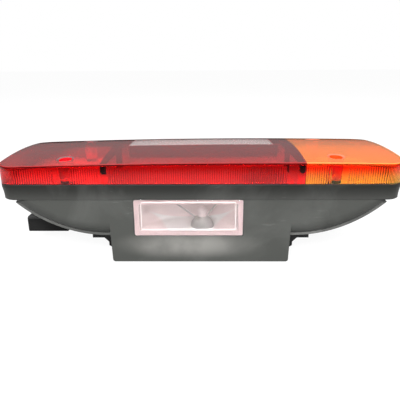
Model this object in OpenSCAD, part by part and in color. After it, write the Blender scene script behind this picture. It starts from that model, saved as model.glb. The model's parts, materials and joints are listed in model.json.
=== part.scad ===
// Rear combination lamp of a truck, lying on its mounting foot with the lens up.
// X runs along the lamp, the number-plate window faces -Y and Z points up from the foot.

/* [Overall] */
// Length of the lamp over its rim
lamp_l = 400; // [390:1:440]
// Width of the lamp over its rim
lamp_w = 140; // [136:1:160]
// Corner radius of rim and lens, seen from above
corner_r = 18; // [14:1:26]

/* [Housing] */
// Height of the step under the rim, over the foot
body_h = 67; // [64:1:76]
// Height of the rim band
rim_h = 15; // [12:0.5:20]
// How far the rim stands proud of the body at its top
rim_flare = 2.2; // [1.6:0.1:3]
// How far the rim stands proud of the body at its bottom edge
rim_step = 0.7; // [0.4:0.1:1.2]
// Wall thickness of the housing moulding
wall = 3; // [2.5:0.1:4]
// Width of the mounting foot at its base
foot_w = 180; // [176:1:184]
// How much wider each side of the foot is at the step
foot_draft = 1.8; // [0.5:0.1:2.5]
// Radius of the foot's lower corners
foot_corner = 2.5; // [1:0.5:4]
// Thickness of the foot's floor
floor_t = 4; // [3:0.5:6]
// Height of the underside of the wings
wing_z = 27; // [24:1:32]
// Radius of the boat-shaped ends of the wings
wing_r = 134; // [128:1:140]
// Distance from the middle at which the wings start to curve up
wing_x = 95; // [93:1:98]
// Radius of the wings' lower long edges
roll_r = 15; // [10:1:18]

/* [Dividers] */
// Thickness of the divider walls between the chambers
divider_t = 4.8; // [4:0.2:6]
// Place of the left divider
divider_left_x = -94.2; // [-97:0.1:-93]
// Distance of the right divider's outer face from the joint of the lens colours
divider_joint_gap = 0.4; // [0.2:0.1:1]
// How far the dividers stand back from the skirt below their tongues
divider_setback = 6; // [4:0.5:9]
// Height of the tongues at the top of the dividers
tongue_h = 9; // [7:0.5:12]

/* [Lens] */
// Height of the lens skirt at its highest point
skirt_h = 21.5; // [19:0.5:25]
// Rise of the lens crown over the width of the lamp
crown_h = 4.4; // [3:0.2:6]
// Radius of the lens crown along the lamp
sweep_r = 7500; // [6500:100:9000]
// Place of the highest point of the lens along the lamp
sweep_x = 46; // [0:1:60]
// Wall thickness of the lens
lens_t = 2.8; // [2.4:0.1:3.2]
// Place of the joint between the red and the amber lens
amber_x = 102; // [101:0.5:106]
// Length of the reversing window
reverse_l = 161; // [150:1:170]
// Near edge of the reversing window
reverse_y = 2.5; // [1:0.5:4]
// Width of the reversing window
reverse_w = 54; // [48:0.5:56]

/* [Flutes] */
// Distance between the flutes inside the lens skirt
flute_pitch = 2.2; // [2:0.1:4]
// Depth of the flutes
flute_d = 0.5; // [0.3:0.05:0.8]
// Width of the smooth bands above and below the flutes
flute_band = 1.2; // [0.8:0.1:3]
// Half length of the smooth fields in front of the screw wells
flute_well = 8; // [7:0.5:10]
// Length of the smooth field beside the joint of the colours
flute_joint = 18; // [12:1:24]

/* [Seals and screws] */
// Thickness of the seal under the lens
gasket_t = 0.9; // [0.6:0.1:1.4]
// How far the seal stays back from the outside
gasket_inset = 0.7; // [0.4:0.1:1.2]
// Distance between the lens screws along the lamp
screw_l = 270; // [266:1:274]
// Distance of the lens screws from the long edges
screw_edge = 20; // [19:0.5:21]
// Radius of the screw wells
well_r = 5.2; // [4.8:0.1:5.6]
// Wall thickness of the screw wells
well_t = 1.4; // [1.2:0.1:1.6]
// Thickness of the floor of a screw well
well_floor = 2.5; // [2:0.1:3]
// Radius of the lens screw heads
screw_head_r = 4.2; // [3.8:0.1:4.4]
// Height of the lens screw heads
screw_head_h = 3; // [2.4:0.1:3.6]
// Radius of the lens screw shanks
screw_r = 1.7; // [1.5:0.1:2]
// Length of the lens screws under the head
screw_len = 16; // [13:0.5:19]

/* [Number-plate lamp] */
// Width of the number-plate window
plate_w = 109; // [100:1:112]
// Height of the number-plate window
plate_h = 38; // [34:0.5:38]
// Place of the middle of the window along the lamp
plate_x = -11.6; // [-14:0.1:-9]
// Height of the lower edge of the window
plate_z = 28.4; // [27.5:0.1:29]
// Thickness of the window pane
pane_t = 2; // [1.6:0.1:2.2]
// Corner radius of the window pane
pane_r = 2; // [1:0.5:3]
// Width of the dark seal beside the pane
pane_seal = 0.8; // [0.5:0.1:1.2]
// Width of the seal above and below the pane
pane_seal_z = 0.3; // [0.2:0.1:0.5]
// Width of the pane's border that rests on the housing
pane_seat = 3; // [2:0.5:4]
// Distance of the raised bead from the edge of the pane
bead_in = 5.4; // [4.5:0.1:7]
// Width and height of the raised bead
bead_t = 0.8; // [0.5:0.1:1.2]
// Depth of the curved white liner
liner_d = 42; // [38:1:46]
// Wall thickness of the liner
liner_t = 1.6; // [1.2:0.1:2]
// Thickness of the liner's flange behind the pane
liner_flange = 1; // [0.8:0.1:1.3]
// How far the frame behind the window stands in from the wall
frame_t = 2; // [1.5:0.5:3]
// Place of the dome along the lamp
dome_x = 2; // [-1:0.5:5]
// Distance of the dome from the inside of the front wall
dome_in = 15.7; // [14.5:0.1:18]
// Radius of the dome
dome_r = 12; // [10:0.5:13]
// Height of the dome over the liner's floor
dome_h = 11.5; // [10.5:0.1:12]
// Thickness of the contact legs
leg_t = 1.8; // [1.4:0.1:2.2]
// Lean of the left contact leg
lean_left = 53; // [50:1:55]
// Lean of the right contact leg
lean_right = 36; // [30:1:45]

/* [Reflectors and bulbs] */
// Thickness of the reflector trays
tray_t = 2; // [1.6:0.1:2.6]
// Height at which the trays rest on the ledge of the housing
ledge_z = 78; // [76.5:0.5:79]
// Wall thickness of the reflector bowls
bowl_t = 1.5; // [1.2:0.1:2]
// Height of the seats of the bulb holders
seat_z = 54; // [53:0.5:56]
// Distance of the outer bowls from the middle
outer_bowl_x = 146; // [145:0.5:148]
// Radius of the outer bowls
outer_bowl_r = 41; // [38:0.5:42]
// Radius of the reversing bowl
reverse_bowl_r = 27; // [24:0.5:28]
// Place of the stop bowl along the lamp
stop_bowl_x = 68; // [66:0.5:70]
// Distance of the stop bowl from the middle line
stop_bowl_y = -30; // [-34:0.5:-28]
// Radius of the stop bowl
stop_bowl_r = 22; // [20:0.5:23]
// Radius of the neck of a bulb holder
holder_r = 9.4; // [9:0.1:10]
// Radius of the flange of a bulb holder
holder_flange_r = 13; // [12.4:0.1:14]
// Radius of the metal base of a bulb
bulb_base_r = 7.5; // [7:0.1:7.6]
// Radius of the glass of a bulb
bulb_r = 12.5; // [11:0.5:13]
// Width of the earth strip
strip_w = 6; // [5:0.5:6.5]
// Thickness of the earth strip
strip_t = 0.8; // [0.6:0.1:1.2]

/* [Mounting] */
// Distance between the threaded inserts
stud_span = 152; // [140:1:156]
// Radius of the thread bore in an insert
stud_bore_r = 3.4; // [3:0.1:4]
// Outer radius of an insert
insert_r = 6; // [5.5:0.1:7]
// Length of an insert
insert_l = 20; // [16:1:24]
// Length of the bracket's leg along the wing
bracket_l = 21; // [18:0.5:23]
// Length of the bracket's leg down the foot
bracket_h = 14.5; // [12:0.5:17]
// Thickness of the bracket legs
bracket_t = 4.4; // [3.5:0.1:5]
// Length of the brackets across the lamp
bracket_w = 116; // [104:1:118]
// Distance between the bracket screws across the lamp
bracket_screw_w = 84; // [70:1:90]
// Size of the web in the corner of a bracket
bracket_web = 4.6; // [3.5:0.1:5]
// Radius of the bracket screw shanks
bracket_screw_r = 1.9; // [1.6:0.1:2.2]
// Depth of the bracket screws in the housing
bracket_screw_len = 12; // [9:0.5:14]
// Radius of the bracket screw heads
bracket_head_r = 3.4; // [3:0.1:3.8]
// Height of the bracket screw heads
bracket_head_h = 2; // [1.5:0.1:2.5]
// Radius of the bosses for the bracket screws
bracket_boss_r = 4.6; // [4.2:0.1:5.5]

/* [Connector] */
// Distance of the cable entry from the middle
plug_x = 168; // [167:0.5:169]
// Width of the connector body across the lamp
plug_w = 36; // [32:0.5:40]
// Height of the connector body
plug_h = 18; // [16:0.5:20]
// Length of the connector body
plug_l = 44; // [40:0.5:45]
// Wall thickness of the connector body
plug_wall = 3; // [2:0.1:3.5]
// Depth of the connector's mouth
plug_mouth = 24; // [20:0.5:26]
// Height of the underside of the connector
plug_z = 13; // [10:0.5:15]
// Radius of the cable entry
entry_r = 8; // [7:0.1:9]
// Width of the flange around the cable entry
entry_flange = 5; // [4:0.5:6]
// Gap between the connector body and the pad above it
entry_gap = 3; // [2.5:0.5:5]
// Thickness of the seal on the flange
entry_seal_t = 1; // [0.6:0.1:1.5]
// How far the seal stays back from the edge of the flange
entry_seal_in = 1.5; // [1:0.1:2]
// How much of the connector body lies outside the cable entry
plug_reach = 27.3; // [26:0.1:28]
// Radius of the connector's long edges
plug_r = 3; // [1.5:0.5:4]
// Radius of the connector pins
pin_r = 1; // [0.8:0.1:1.2]
// Distance between neighbouring pins
pin_pitch = 6; // [5:0.1:6.4]
// How far the pins stand in the mouth
pin_out = 14.4; // [10:0.2:16]
// How deep the pins sit in the body
pin_in = 5.5; // [4:0.5:8]

/* [Breather] */
// Distance of the breather from the middle
breather_x = 150; // [140:1:160]
// Radius of the breather's cap
breather_r = 7; // [6:0.5:8]
// Height of the breather's cap
breather_h = 3.5; // [2.5:0.5:5]
// Radius of the breather's stem
breather_stem_r = 2.4; // [2:0.1:3]
// Length of the breather's stem
breather_stem = 9; // [8:0.5:10]

/* [Hidden] */
$fn = 48;

// Colours as the finished lamp shows them
housing_grey = [0.36, 0.36, 0.35];
lens_red_colour = [0.8, 0.05, 0.05, 0.8];
lens_amber_colour = [1, 0.42, 0.1, 0.8];
lens_clear_colour = [0.85, 0.72, 0.72, 0.6];
black_plastic = [0.06, 0.06, 0.06];
rubber_black = [0.04, 0.04, 0.04];
white_plastic = [0.9, 0.88, 0.87];
holder_grey = [0.6, 0.6, 0.58];
brass = [0.75, 0.6, 0.3];
steel = [0.7, 0.7, 0.72];
bulb_glass = [0.85, 0.85, 0.85, 0.6];

// Clearances and small overlaps
fit = 0.3;          // moulded pieces that drop into each other
slide_fit = 0.05;   // pins and shanks in their holes
over = 1;           // how far a cutting shape runs past a face
blend = 0.5;        // how deep a boss is rooted in its wall
flute_root = 0.15;  // how far the flutes' feet lie inside the hollow, which leaves a land between them

// Levels
rim_top = body_h + rim_h;
lens_z = rim_top + gasket_t;
edge_z = lens_z + skirt_h;

// Half sizes
half_l = lamp_l / 2;
half_w = lamp_w / 2;
body_hw = half_w - rim_flare;
body_hl = half_l - rim_flare;
crown_r = (pow(half_w, 2) + pow(crown_h, 2)) / (2 * crown_h);
divider_right_x = amber_x - divider_joint_gap - divider_t / 2;
fine = 1440;        // facets of the large, nearly flat arcs
wheel_fn = 180;     // facets of the wing ends

// Screws
screw_x = screw_l / 2;
screw_y = half_w - screw_edge;
boss_r = well_r + well_t;

// Rounded rectangle, centred, as squares and true circles
module rounded_2d(l, w, r) {
  square([l - 2 * r, w], center = true);
  square([l, w - 2 * r], center = true);
  for (sx = [-1, 1], sy = [-1, 1])
    translate([sx * (l / 2 - r), sy * (w / 2 - r)]) circle(r = r);
}

// Upright block with rounded corners, from height z0 to z1
module slab(l, w, r, z0, z1) {
  translate([0, 0, z0]) linear_extrude(z1 - z0) rounded_2d(l, w, r);
}

// Carries a profile round a rounded rectangle; x = 0 of the profile is the outline itself
module carry_round(l, w, r) {
  for (a = [0, 180])
    rotate(a) {
      translate([l / 2 - r, w / 2 - r])
        rotate_extrude(angle = 90) translate([r, 0]) children();
      translate([r - l / 2, w / 2 - r])
        rotate(90) rotate_extrude(angle = 90) translate([r, 0]) children();
      translate([l / 2, r - w / 2])
        rotate([90, 0, 180]) mirror([1, 0]) linear_extrude(w - 2 * r) children();
      translate([l / 2 - r, w / 2])
        rotate([90, 0, -90]) mirror([1, 0]) linear_extrude(l - 2 * r) children();
    }
}

// Plate in the XZ plane with rounded corners, from y0 to y1, centred on x and z
module front_plate(l, h, r, x, z, y0, y1) {
  translate([x, y1, z]) rotate([90, 0, 0]) linear_extrude(y1 - y0) rounded_2d(l, h, r);
}

// Everything under the lens crown, lowered by drop: an arc across the lamp whose radius
// shrinks with the square of the distance from the highest point
crown_steps = 14;
crown_margin = 10;

module under_crown(drop) {
  depth = 70;
  reach = half_l + crown_margin;
  steps = crown_steps;
  span = 2 * asin((half_w + crown_margin) / (crown_r - depth));
  xs = [for (i = [0:steps]) -reach + 2 * reach * i / steps];
  translate([0, 0, edge_z + crown_h - crown_r])
    rotate([0, 90, 0])
      rotate(180 - span / 2)
        rotate_extrude(angle = span, $fn = fine)
          polygon(concat([for (x = xs) [crown_r - drop - pow(x - sweep_x, 2) / (2 * sweep_r), x]],
            [[crown_r - depth, reach], [crown_r - depth, -reach]]));
}

// Section of a wing, radius along x and the lamp's width along y, set in by d
module wing_section(d) {
  r = wing_r - d;
  w = body_hw - d;
  rr = roll_r - d;
  translate([0, -w]) square([r - rr, 2 * w]);
  translate([0, rr - w]) square([r, 2 * (w - rr)]);
  for (s = [-1, 1]) translate([r - rr, s * (w - rr)]) circle(r = rr);
}

// Body under the rim without the foot, set in by d, up to height z1
module wings(d, z1) {
  centre_z = wing_z + wing_r;
  intersection() {
    union() {
      for (s = [-1, 1])
        translate([s * wing_x, 0, centre_z])
          rotate([90, 0, 0])
            rotate_extrude($fn = wheel_fn) wing_section(d);
      translate([-wing_x, 0, centre_z])
        rotate([0, 90, 0])
          linear_extrude(2 * wing_x) wing_section(d);
    }
    translate([-half_l, -half_w, 0]) cube([lamp_l, lamp_w, z1]);
  }
}

// Points of a quarter arc from angle a, for the corners of the foot
function corner(x, z, r, a) = [for (i = [0:3]) [x + r * cos(a + 30 * i), z + r * sin(a + 30 * i)]];

// Mounting foot, set in by d, from height z0 to z1
module foot(d, z0, z1) {
  slope = foot_draft / body_h;
  low = foot_w / 2 + slope * z0 - d;
  high = foot_w / 2 + slope * z1 - d;
  r = foot_corner;
  y = body_hw - d;
  translate([0, y, 0])
    rotate([90, 0, 0])
      linear_extrude(2 * y)
        polygon(concat(corner(r - low, z0 + r, r, 180), corner(low - r, z0 + r, r, 270),
          [[high, z1], [-high, z1]]));
}

// Band under the lens: a cove that spreads from the body to the lens
module rim() {
  cove = rim_flare - rim_step;
  cove_r = (pow(cove, 2) + pow(rim_h * 0.8, 2)) / (2 * cove);
  slab(lamp_l - 2 * rim_flare, lamp_w - 2 * rim_flare, corner_r - rim_flare, body_h - blend, rim_top);
  carry_round(lamp_l, lamp_w, corner_r)
    difference() {
      translate([-rim_flare - over, body_h]) square([rim_flare + over, rim_h]);
      translate([cove_r - cove, body_h]) circle(r = cove_r, $fn = fine);
    }
}

// Hollow of the housing before dividers and bosses
module cavity() {
  shelf_z = body_h + wall;
  wings(wall, shelf_z + blend);
  foot(wall, floor_t, shelf_z);
  slab(2 * (body_hl - wall), 2 * (body_hw - wall), corner_r - rim_flare - wall, shelf_z, ledge_z + blend);
  slab(lamp_l - 2 * wall, lamp_w - 2 * wall, corner_r - wall, ledge_z, rim_top + over);
}

// Wall across the lamp; its tongues close the gap to the skirt at the top
module divider(x) {
  top_z = edge_z + crown_h;
  skirt_y = half_w - lens_t - fit;
  low_y = skirt_y - divider_setback;
  intersection() {
    translate([x - divider_t / 2, 0, 0]) {
      translate([0, -body_hw, wing_z]) cube([divider_t, 2 * body_hw, ledge_z - wing_z]);
      translate([0, -low_y, ledge_z - over]) cube([divider_t, 2 * low_y, top_z - ledge_z + over]);
      translate([0, -skirt_y, edge_z - tongue_h]) cube([divider_t, 2 * skirt_y, tongue_h + crown_h]);
      translate([divider_t / 2, skirt_y, edge_z - tongue_h])
        rotate([90, 0, 0]) cylinder(r = divider_t / 2, h = 2 * skirt_y);
    }
    union() {
      translate([-half_l, -half_w, 0]) cube([lamp_l, lamp_w, ledge_z]);
      under_crown(lens_t + fit);
    }
  }
}

module screw_places() {
  for (sx = [-1, 1], sy = [-1, 1]) translate([sx * screw_x, sy * screw_y, 0]) children();
}

module stud_places() {
  for (s = [-1, 1]) translate([s * stud_span / 2, 0, 0]) children();
}

// The brackets stand against the foot; their screws sit just outside the web
bracket_in = foot_w / 2 + foot_draft * wing_z / body_h + slide_fit;
bracket_screw_x = bracket_in + bracket_t + bracket_web + bracket_head_r + fit;

module bracket_screw_places() {
  for (sx = [-1, 1], sy = [-1, 1])
    translate([sx * bracket_screw_x, sy * bracket_screw_w / 2, 0]) children();
}

// Height of the underside of a wing at distance x from the middle
function wing_under(x) = wing_z + wing_r - sqrt(pow(wing_r, 2) - pow(x - wing_x, 2));

// Pads on the outside of the wings, flat for the connector and the breather
entry_flange_r = entry_r + entry_flange;
pad_z = plug_z + plug_h + entry_gap;
pad_top = wing_under(plug_x + entry_flange_r) + wall / 2;
breather_pad_r = breather_r + 1;
breather_pad_z = wing_under(breather_x - breather_pad_r) - blend;
breather_pad_top = wing_under(breather_x + breather_pad_r) + wall / 2;

// Middle of the number-plate window, and the face that its liner's flange rests on
window_z = plate_z + plate_h / 2;
rebate_y = fit + pane_t + liner_flange - body_hw;

// Frame round the window on the inside of the wall
module window_frame() {
  front_plate(plate_w + 2 * wall, plate_h + 2 * wall, pane_r, plate_x, window_z,
    wall - blend - body_hw, wall + frame_t - body_hw);
}

// Bosses and walls that stand in the hollow
module inner_walls() {
  window_frame();
  divider(divider_left_x);
  divider(divider_right_x);
  screw_places() translate([0, 0, wing_z]) cylinder(r = boss_r, h = lens_z - wing_z);
  stud_places() cylinder(r = insert_r + wall, h = insert_l + wall);
  bracket_screw_places() translate([0, 0, wing_z]) cylinder(r = bracket_boss_r, h = bracket_screw_len + wall);
}

// Window opening: a rebate for pane and seal, and a smaller hole behind it
module window_cut() {
  front_plate(plate_w + 2 * pane_seal, plate_h + 2 * pane_seal_z, pane_r + pane_seal_z, plate_x, window_z,
    -body_hw - over, rebate_y);
  front_plate(plate_w - 2 * pane_seat, plate_h - 2 * pane_seat, fit, plate_x, window_z,
    -body_hw - over, wall + frame_t + over - body_hw);
}

module housing() {
  color(housing_grey)
    difference() {
      union() {
        difference() {
          union() {
            wings(0, body_h);
            foot(0, 0, body_h);
            rim();
            translate([-plug_x, 0, pad_z]) cylinder(r = entry_flange_r, h = pad_top - pad_z);
            translate([breather_x, 0, breather_pad_z])
              cylinder(r = breather_pad_r, h = breather_pad_top - breather_pad_z);
          }
          difference() {
            cavity();
            inner_walls();
          }
        }
        intersection() {
          inner_walls();
          translate([-half_l, -half_w, rim_top - blend])
            cube([lamp_l, lamp_w, skirt_h + crown_h + gasket_t + blend]);
        }
      }
      window_cut();
      screw_places()
        translate([0, 0, lens_z - screw_len]) cylinder(r = screw_r + slide_fit, h = screw_len + over);
      stud_places() translate([0, 0, -over]) cylinder(r = insert_r, h = insert_l + over);
      bracket_screw_places()
        translate([0, 0, wing_z - over])
          cylinder(r = bracket_screw_r + slide_fit, h = bracket_screw_len + 2 * over);
      translate([-plug_x, 0, pad_z - over]) cylinder(r = entry_r + fit, h = pad_top + wall - pad_z + over);
      translate([breather_x, 0, breather_pad_z - over])
        cylinder(r = breather_stem_r + slide_fit, h = breather_stem + 2 * over);
      earth_strip_shape(fit);
    }
}

// Hollow of the lens seen from above: half sizes and corner radius
in_l = half_l - lens_t;
in_w = half_w - lens_t;
in_r = corner_r - lens_t;

// Corners of V-shaped flutes along a straight run: place on the run, height over the skirt's inside
function flute_run(length) =
  let (n = round(length / flute_pitch), p = length / n)
  [for (i = [0:n - 1]) each [[i * p - length / 2, -flute_root], [(i + 0.5) * p - length / 2, flute_d]]];

// The same round a corner with its middle at m, from angle a
function flute_bend(m, a) =
  let (n = round(in_r * PI / 2 / flute_pitch))
  [for (i = [0:2 * n - 1]) let (r = i % 2 == 0 ? in_r - flute_root : in_r + flute_d, b = a + 45 * i / n)
    [m[0] + r * cos(b), m[1] + r * sin(b)]];

// How deep a flute of height d is at distance x: none at the wells, the tongues and beside the joint
function flute_at(x, d) =
  abs(abs(x) - screw_x) < flute_well || abs(x - divider_left_x) < divider_t
    || (x > amber_x - flute_joint && x < amber_x) ? -flute_root : d;

// Outline of the hollow with its flutes
function fluted_outline() =
  let (x = in_l - in_r, y = in_w - in_r, along = flute_run(2 * x), across = flute_run(2 * y))
  concat(
    [for (q = along) [q[0], -in_w - flute_at(q[0], q[1])]], flute_bend([x, -y], 270),
    [for (q = across) [in_l + q[1], q[0]]], flute_bend([x, y], 0),
    [for (q = along) [-q[0], in_w + flute_at(-q[0], q[1])]], flute_bend([-x, y], 90),
    [for (q = across) [-in_l - q[1], -q[0]]], flute_bend([-x, -y], 180));

// Flutes as one upright block whose top follows the crown along the lamp
module flutes() {
  low = lens_z + flute_band;
  high = edge_z - lens_t - flute_band;
  intersection() {
    translate([0, 0, low]) linear_extrude(high - low + over) polygon(fluted_outline());
    translate([0, half_w, 0])
      rotate([90, 0, 0])
        linear_extrude(lamp_w)
          polygon(concat(
            [for (i = [0:crown_steps]) let (x = lamp_l * (i / crown_steps - 0.5))
              [x, high - pow(x - sweep_x, 2) / (2 * sweep_r)]],
            [[half_l, low - over], [-half_l, low - over]]));
  }
}

// Shell of the whole lens before it is divided by colour
module lens_shell() {
  difference() {
    intersection() {
      slab(lamp_l, lamp_w, corner_r, lens_z, edge_z + crown_h + over);
      under_crown(0);
    }
    intersection() {
      slab(2 * in_l, 2 * in_w, in_r, lens_z - over, edge_z + crown_h + over);
      under_crown(lens_t);
    }
    flutes();
  }
}

// Block that stands for the reversing window, grown by g on each side
module reverse_block(g) {
  translate([-reverse_l / 2 - g, reverse_y - g, lens_z + over])
    cube([reverse_l + 2 * g, reverse_w + 2 * g, skirt_h + crown_h]);
}

// Lens shell with the screw wells of one end
module lens_end(side) {
  difference() {
    union() {
      lens_shell();
      intersection() {
        for (sy = [-1, 1])
          translate([side * screw_x, sy * screw_y, lens_z]) cylinder(r = boss_r, h = skirt_h + crown_h);
        under_crown(lens_t / 2);
      }
    }
    for (sy = [-1, 1]) translate([side * screw_x, sy * screw_y, 0]) {
      translate([0, 0, lens_z + well_floor]) cylinder(r = well_r, h = skirt_h + crown_h);
      translate([0, 0, lens_z - over]) cylinder(r = screw_r + fit, h = well_floor + 2 * over);
    }
  }
}

module lens_red() {
  color(lens_red_colour)
    difference() {
      lens_end(-1);
      translate([amber_x, -half_w - over, lens_z - over])
        cube([half_l, lamp_w + 2 * over, skirt_h + crown_h + 3 * over]);
      reverse_block(0);
    }
}

module lens_amber() {
  color(lens_amber_colour)
    difference() {
      lens_end(1);
      translate([-half_l - over, -half_w - over, lens_z - over])
        cube([half_l + over + amber_x, lamp_w + 2 * over, skirt_h + crown_h + 3 * over]);
    }
}

module lens_clear() {
  color(lens_clear_colour)
    intersection() {
      difference() {
        under_crown(0);
        under_crown(lens_t);
      }
      reverse_block(0);
    }
}

module lens_gasket() {
  color(rubber_black)
    difference() {
      slab(lamp_l - 2 * gasket_inset, lamp_w - 2 * gasket_inset, corner_r - gasket_inset, rim_top, lens_z);
      slab(lamp_l - 2 * lens_t, lamp_w - 2 * lens_t, corner_r - lens_t, rim_top - over, lens_z + over);
    }
}

// Pan-head screw with a cross slot, standing head up, underside of the head at z = 0
module pan_screw(head_r, head_h, shank_r, len) {
  dome = head_r * 1.6;
  slot = head_r * 1.2;
  slot_t = head_r / 4;
  difference() {
    intersection() {
      cylinder(r = head_r, h = head_h);
      translate([0, 0, head_h - dome]) sphere(r = dome);
    }
    for (a = [0, 90]) rotate(a) translate([-slot / 2, -slot_t / 2, head_h / 2]) cube([slot, slot_t, head_h]);
  }
  translate([0, 0, -len]) cylinder(r = shank_r, h = len + blend);
}

module lens_screws() {
  color(steel)
    screw_places()
      translate([0, 0, lens_z + well_floor])
        pan_screw(screw_head_r, screw_head_h, screw_r, screw_len);
}

module plate_window() {
  pane_y = fit - body_hw;
  bead_w = plate_w - 2 * bead_in;
  bead_h = plate_h - 2 * bead_in;
  color(lens_clear_colour)
    union() {
      front_plate(plate_w, plate_h, pane_r, plate_x, window_z, pane_y, pane_y + pane_t);
      difference() {
        front_plate(bead_w, bead_h, pane_r, plate_x, window_z, pane_y - bead_t, pane_y + bead_t);
        front_plate(bead_w - 2 * bead_t, bead_h - 2 * bead_t, pane_r - bead_t, plate_x, window_z,
          pane_y - bead_t - over, pane_y + bead_t + over);
      }
    }
}

// Seal round the edges of pane and flange
module plate_gasket() {
  seal_y = fit - body_hw;
  color(rubber_black)
    difference() {
      front_plate(plate_w + 2 * pane_seal, plate_h + 2 * pane_seal_z, pane_r + pane_seal_z, plate_x, window_z,
        seal_y, rebate_y);
      front_plate(plate_w, plate_h, pane_r, plate_x, window_z, seal_y - over, rebate_y + over);
    }
}

// Liner of the number-plate lamp, curved in plan and closed above and below; it goes in from the
// front, and its flange lies between the pane and the housing
liner_y = rebate_y - liner_flange;
liner_edge = pane_seat + fit + liner_t;
liner_half = plate_w / 2 - liner_edge;
liner_r = (pow(liner_half, 2) + pow(liner_d, 2)) / (2 * liner_d);
liner_z0 = plate_z + liner_edge;
liner_z1 = plate_z + plate_h - liner_edge;

module liner_plan(grow) {
  intersection() {
    translate([plate_x, liner_y + liner_d - liner_r]) circle(r = liner_r + grow, $fn = wheel_fn);
    translate([plate_x - lamp_w, liner_y]) square([2 * lamp_w, liner_d + grow + over]);
  }
}

module plate_reflector() {
  color(white_plastic)
    difference() {
      union() {
        translate([0, 0, liner_z0 - liner_t])
          linear_extrude(liner_z1 - liner_z0 + 2 * liner_t) liner_plan(liner_t);
        front_plate(plate_w, plate_h, pane_r, plate_x, window_z, liner_y, rebate_y);
      }
      translate([0, -over, liner_z0]) linear_extrude(liner_z1 - liner_z0) {
        liner_plan(0);
        translate([0, over]) liner_plan(0);
      }
    }
}

// Dome that carries the number-plate bulb
dome_y = liner_y + dome_in;
small_bulb_r = 4.5;

module dome(grow) {
  translate([dome_x, dome_y, liner_z0 + dome_h - dome_r]) sphere(r = dome_r + grow);
}

module plate_holder() {
  color(holder_grey)
    difference() {
      intersection() {
        dome(0);
        translate([dome_x, dome_y, liner_z0]) cylinder(r = dome_r + over, h = dome_h + over);
      }
      translate([dome_x, dome_y, liner_z0 + dome_h / 2]) cylinder(r = small_bulb_r + slide_fit, h = dome_h);
    }
}

module plate_bulb() {
  color(bulb_glass)
    translate([dome_x, dome_y, liner_z0 + dome_h / 2]) {
      cylinder(r = small_bulb_r, h = dome_h / 2 + small_bulb_r);
      translate([0, 0, dome_h / 2 + small_bulb_r]) sphere(r = small_bulb_r + blend);
    }
}

// Two legs that spread from the dome to the ceiling of the liner
module plate_contacts() {
  color(holder_grey)
    difference() {
      intersection() {
        for (lean = [-lean_left, lean_right])
          translate([dome_x, dome_y, liner_z0 + dome_h / 3])
            rotate([0, lean, 0]) cylinder(r = leg_t / 2, h = plate_h / cos(lean));
        translate([-half_l, -half_w, liner_z0]) cube([lamp_l, lamp_w, liner_z1 - liner_z0]);
      }
      dome(slide_fit);
      translate([dome_x, dome_y, liner_z0]) cylinder(r = small_bulb_r + over, h = 2 * dome_h);
    }
}

// Sphere whose wall passes the rim of a bowl and the edge of its seat
bowl_top = ledge_z + tray_t;
seat_r = holder_flange_r;
function bowl_centre(r) =
  (pow(r, 2) - pow(seat_r, 2) + pow(bowl_top, 2) - pow(seat_z, 2)) / (2 * (bowl_top - seat_z));
function bowl_radius(r) = sqrt(pow(r, 2) + pow(bowl_top - bowl_centre(r), 2));

module bowl_outside(place, r) {
  intersection() {
    translate([place[0], place[1], bowl_centre(r)]) sphere(r = bowl_radius(r) + bowl_t, $fn = 72);
    translate([place[0], place[1], seat_z - bowl_t]) cylinder(r = 2 * r, h = bowl_top - seat_z + bowl_t);
  }
}

module bowl_inside(place, r) {
  intersection() {
    translate([place[0], place[1], bowl_centre(r)]) sphere(r = bowl_radius(r), $fn = 72);
    translate([place[0], place[1], seat_z]) cylinder(r = 2 * r, h = bowl_top - seat_z + over);
  }
  translate([place[0], place[1], seat_z - bowl_t - over]) cylinder(r = holder_r + fit, h = bowl_t + 2 * over);
}

// Tray between x0 and x1 with a bowl at each place
module tray(x0, x1, bowls) {
  side = wall + fit;
  difference() {
    union() {
      intersection() {
        slab(lamp_l - 2 * side, lamp_w - 2 * side, corner_r - side, ledge_z, bowl_top);
        translate([x0, -half_w, ledge_z]) cube([x1 - x0, lamp_w, tray_t]);
      }
      for (b = bowls) bowl_outside([b[0], b[1]], b[2]);
    }
    for (b = bowls) bowl_inside([b[0], b[1]], b[2]);
    screw_places() translate([0, 0, ledge_z - over]) cylinder(r = boss_r + fit, h = tray_t + 2 * over);
  }
}

reverse_bulb_y = reverse_y + reverse_w / 2;
chamber_gap = divider_t / 2 + fit;

module reflector_left() {
  color(white_plastic) tray(-half_l, divider_left_x - chamber_gap, [[-outer_bowl_x, 0, outer_bowl_r]]);
}

module reflector_centre() {
  color(white_plastic)
    tray(divider_left_x + chamber_gap, divider_right_x - chamber_gap,
      [[0, reverse_bulb_y, reverse_bowl_r], [stop_bowl_x, stop_bowl_y, stop_bowl_r]]);
}

module reflector_right() {
  color(white_plastic) tray(divider_right_x + chamber_gap, half_l, [[outer_bowl_x, 0, outer_bowl_r]]);
}

// Bulb holder under a bowl; its flange bears on the seat from below
flange_t = 2;
holder_drop = 4.5;    // neck under the flange
holder_floor = 1.5;   // floor of the bulb's bore
holder_lip = 1;       // how far the neck stands in the bowl
bulb_neck = 6;        // how far the bulb's metal base stands over its holder
holder_top = seat_z + holder_lip;
flange_z = seat_z - bowl_t - flange_t;
bore_z = flange_z - holder_drop + holder_floor;

module holder(x, y) {
  color(holder_grey)
    translate([x, y, 0])
      difference() {
        union() {
          translate([0, 0, flange_z - holder_drop])
            cylinder(r = holder_r, h = holder_top - flange_z + holder_drop);
          translate([0, 0, flange_z]) cylinder(r = holder_flange_r, h = flange_t);
        }
        translate([0, 0, bore_z]) cylinder(r = bulb_base_r + slide_fit, h = holder_top);
      }
}

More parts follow.
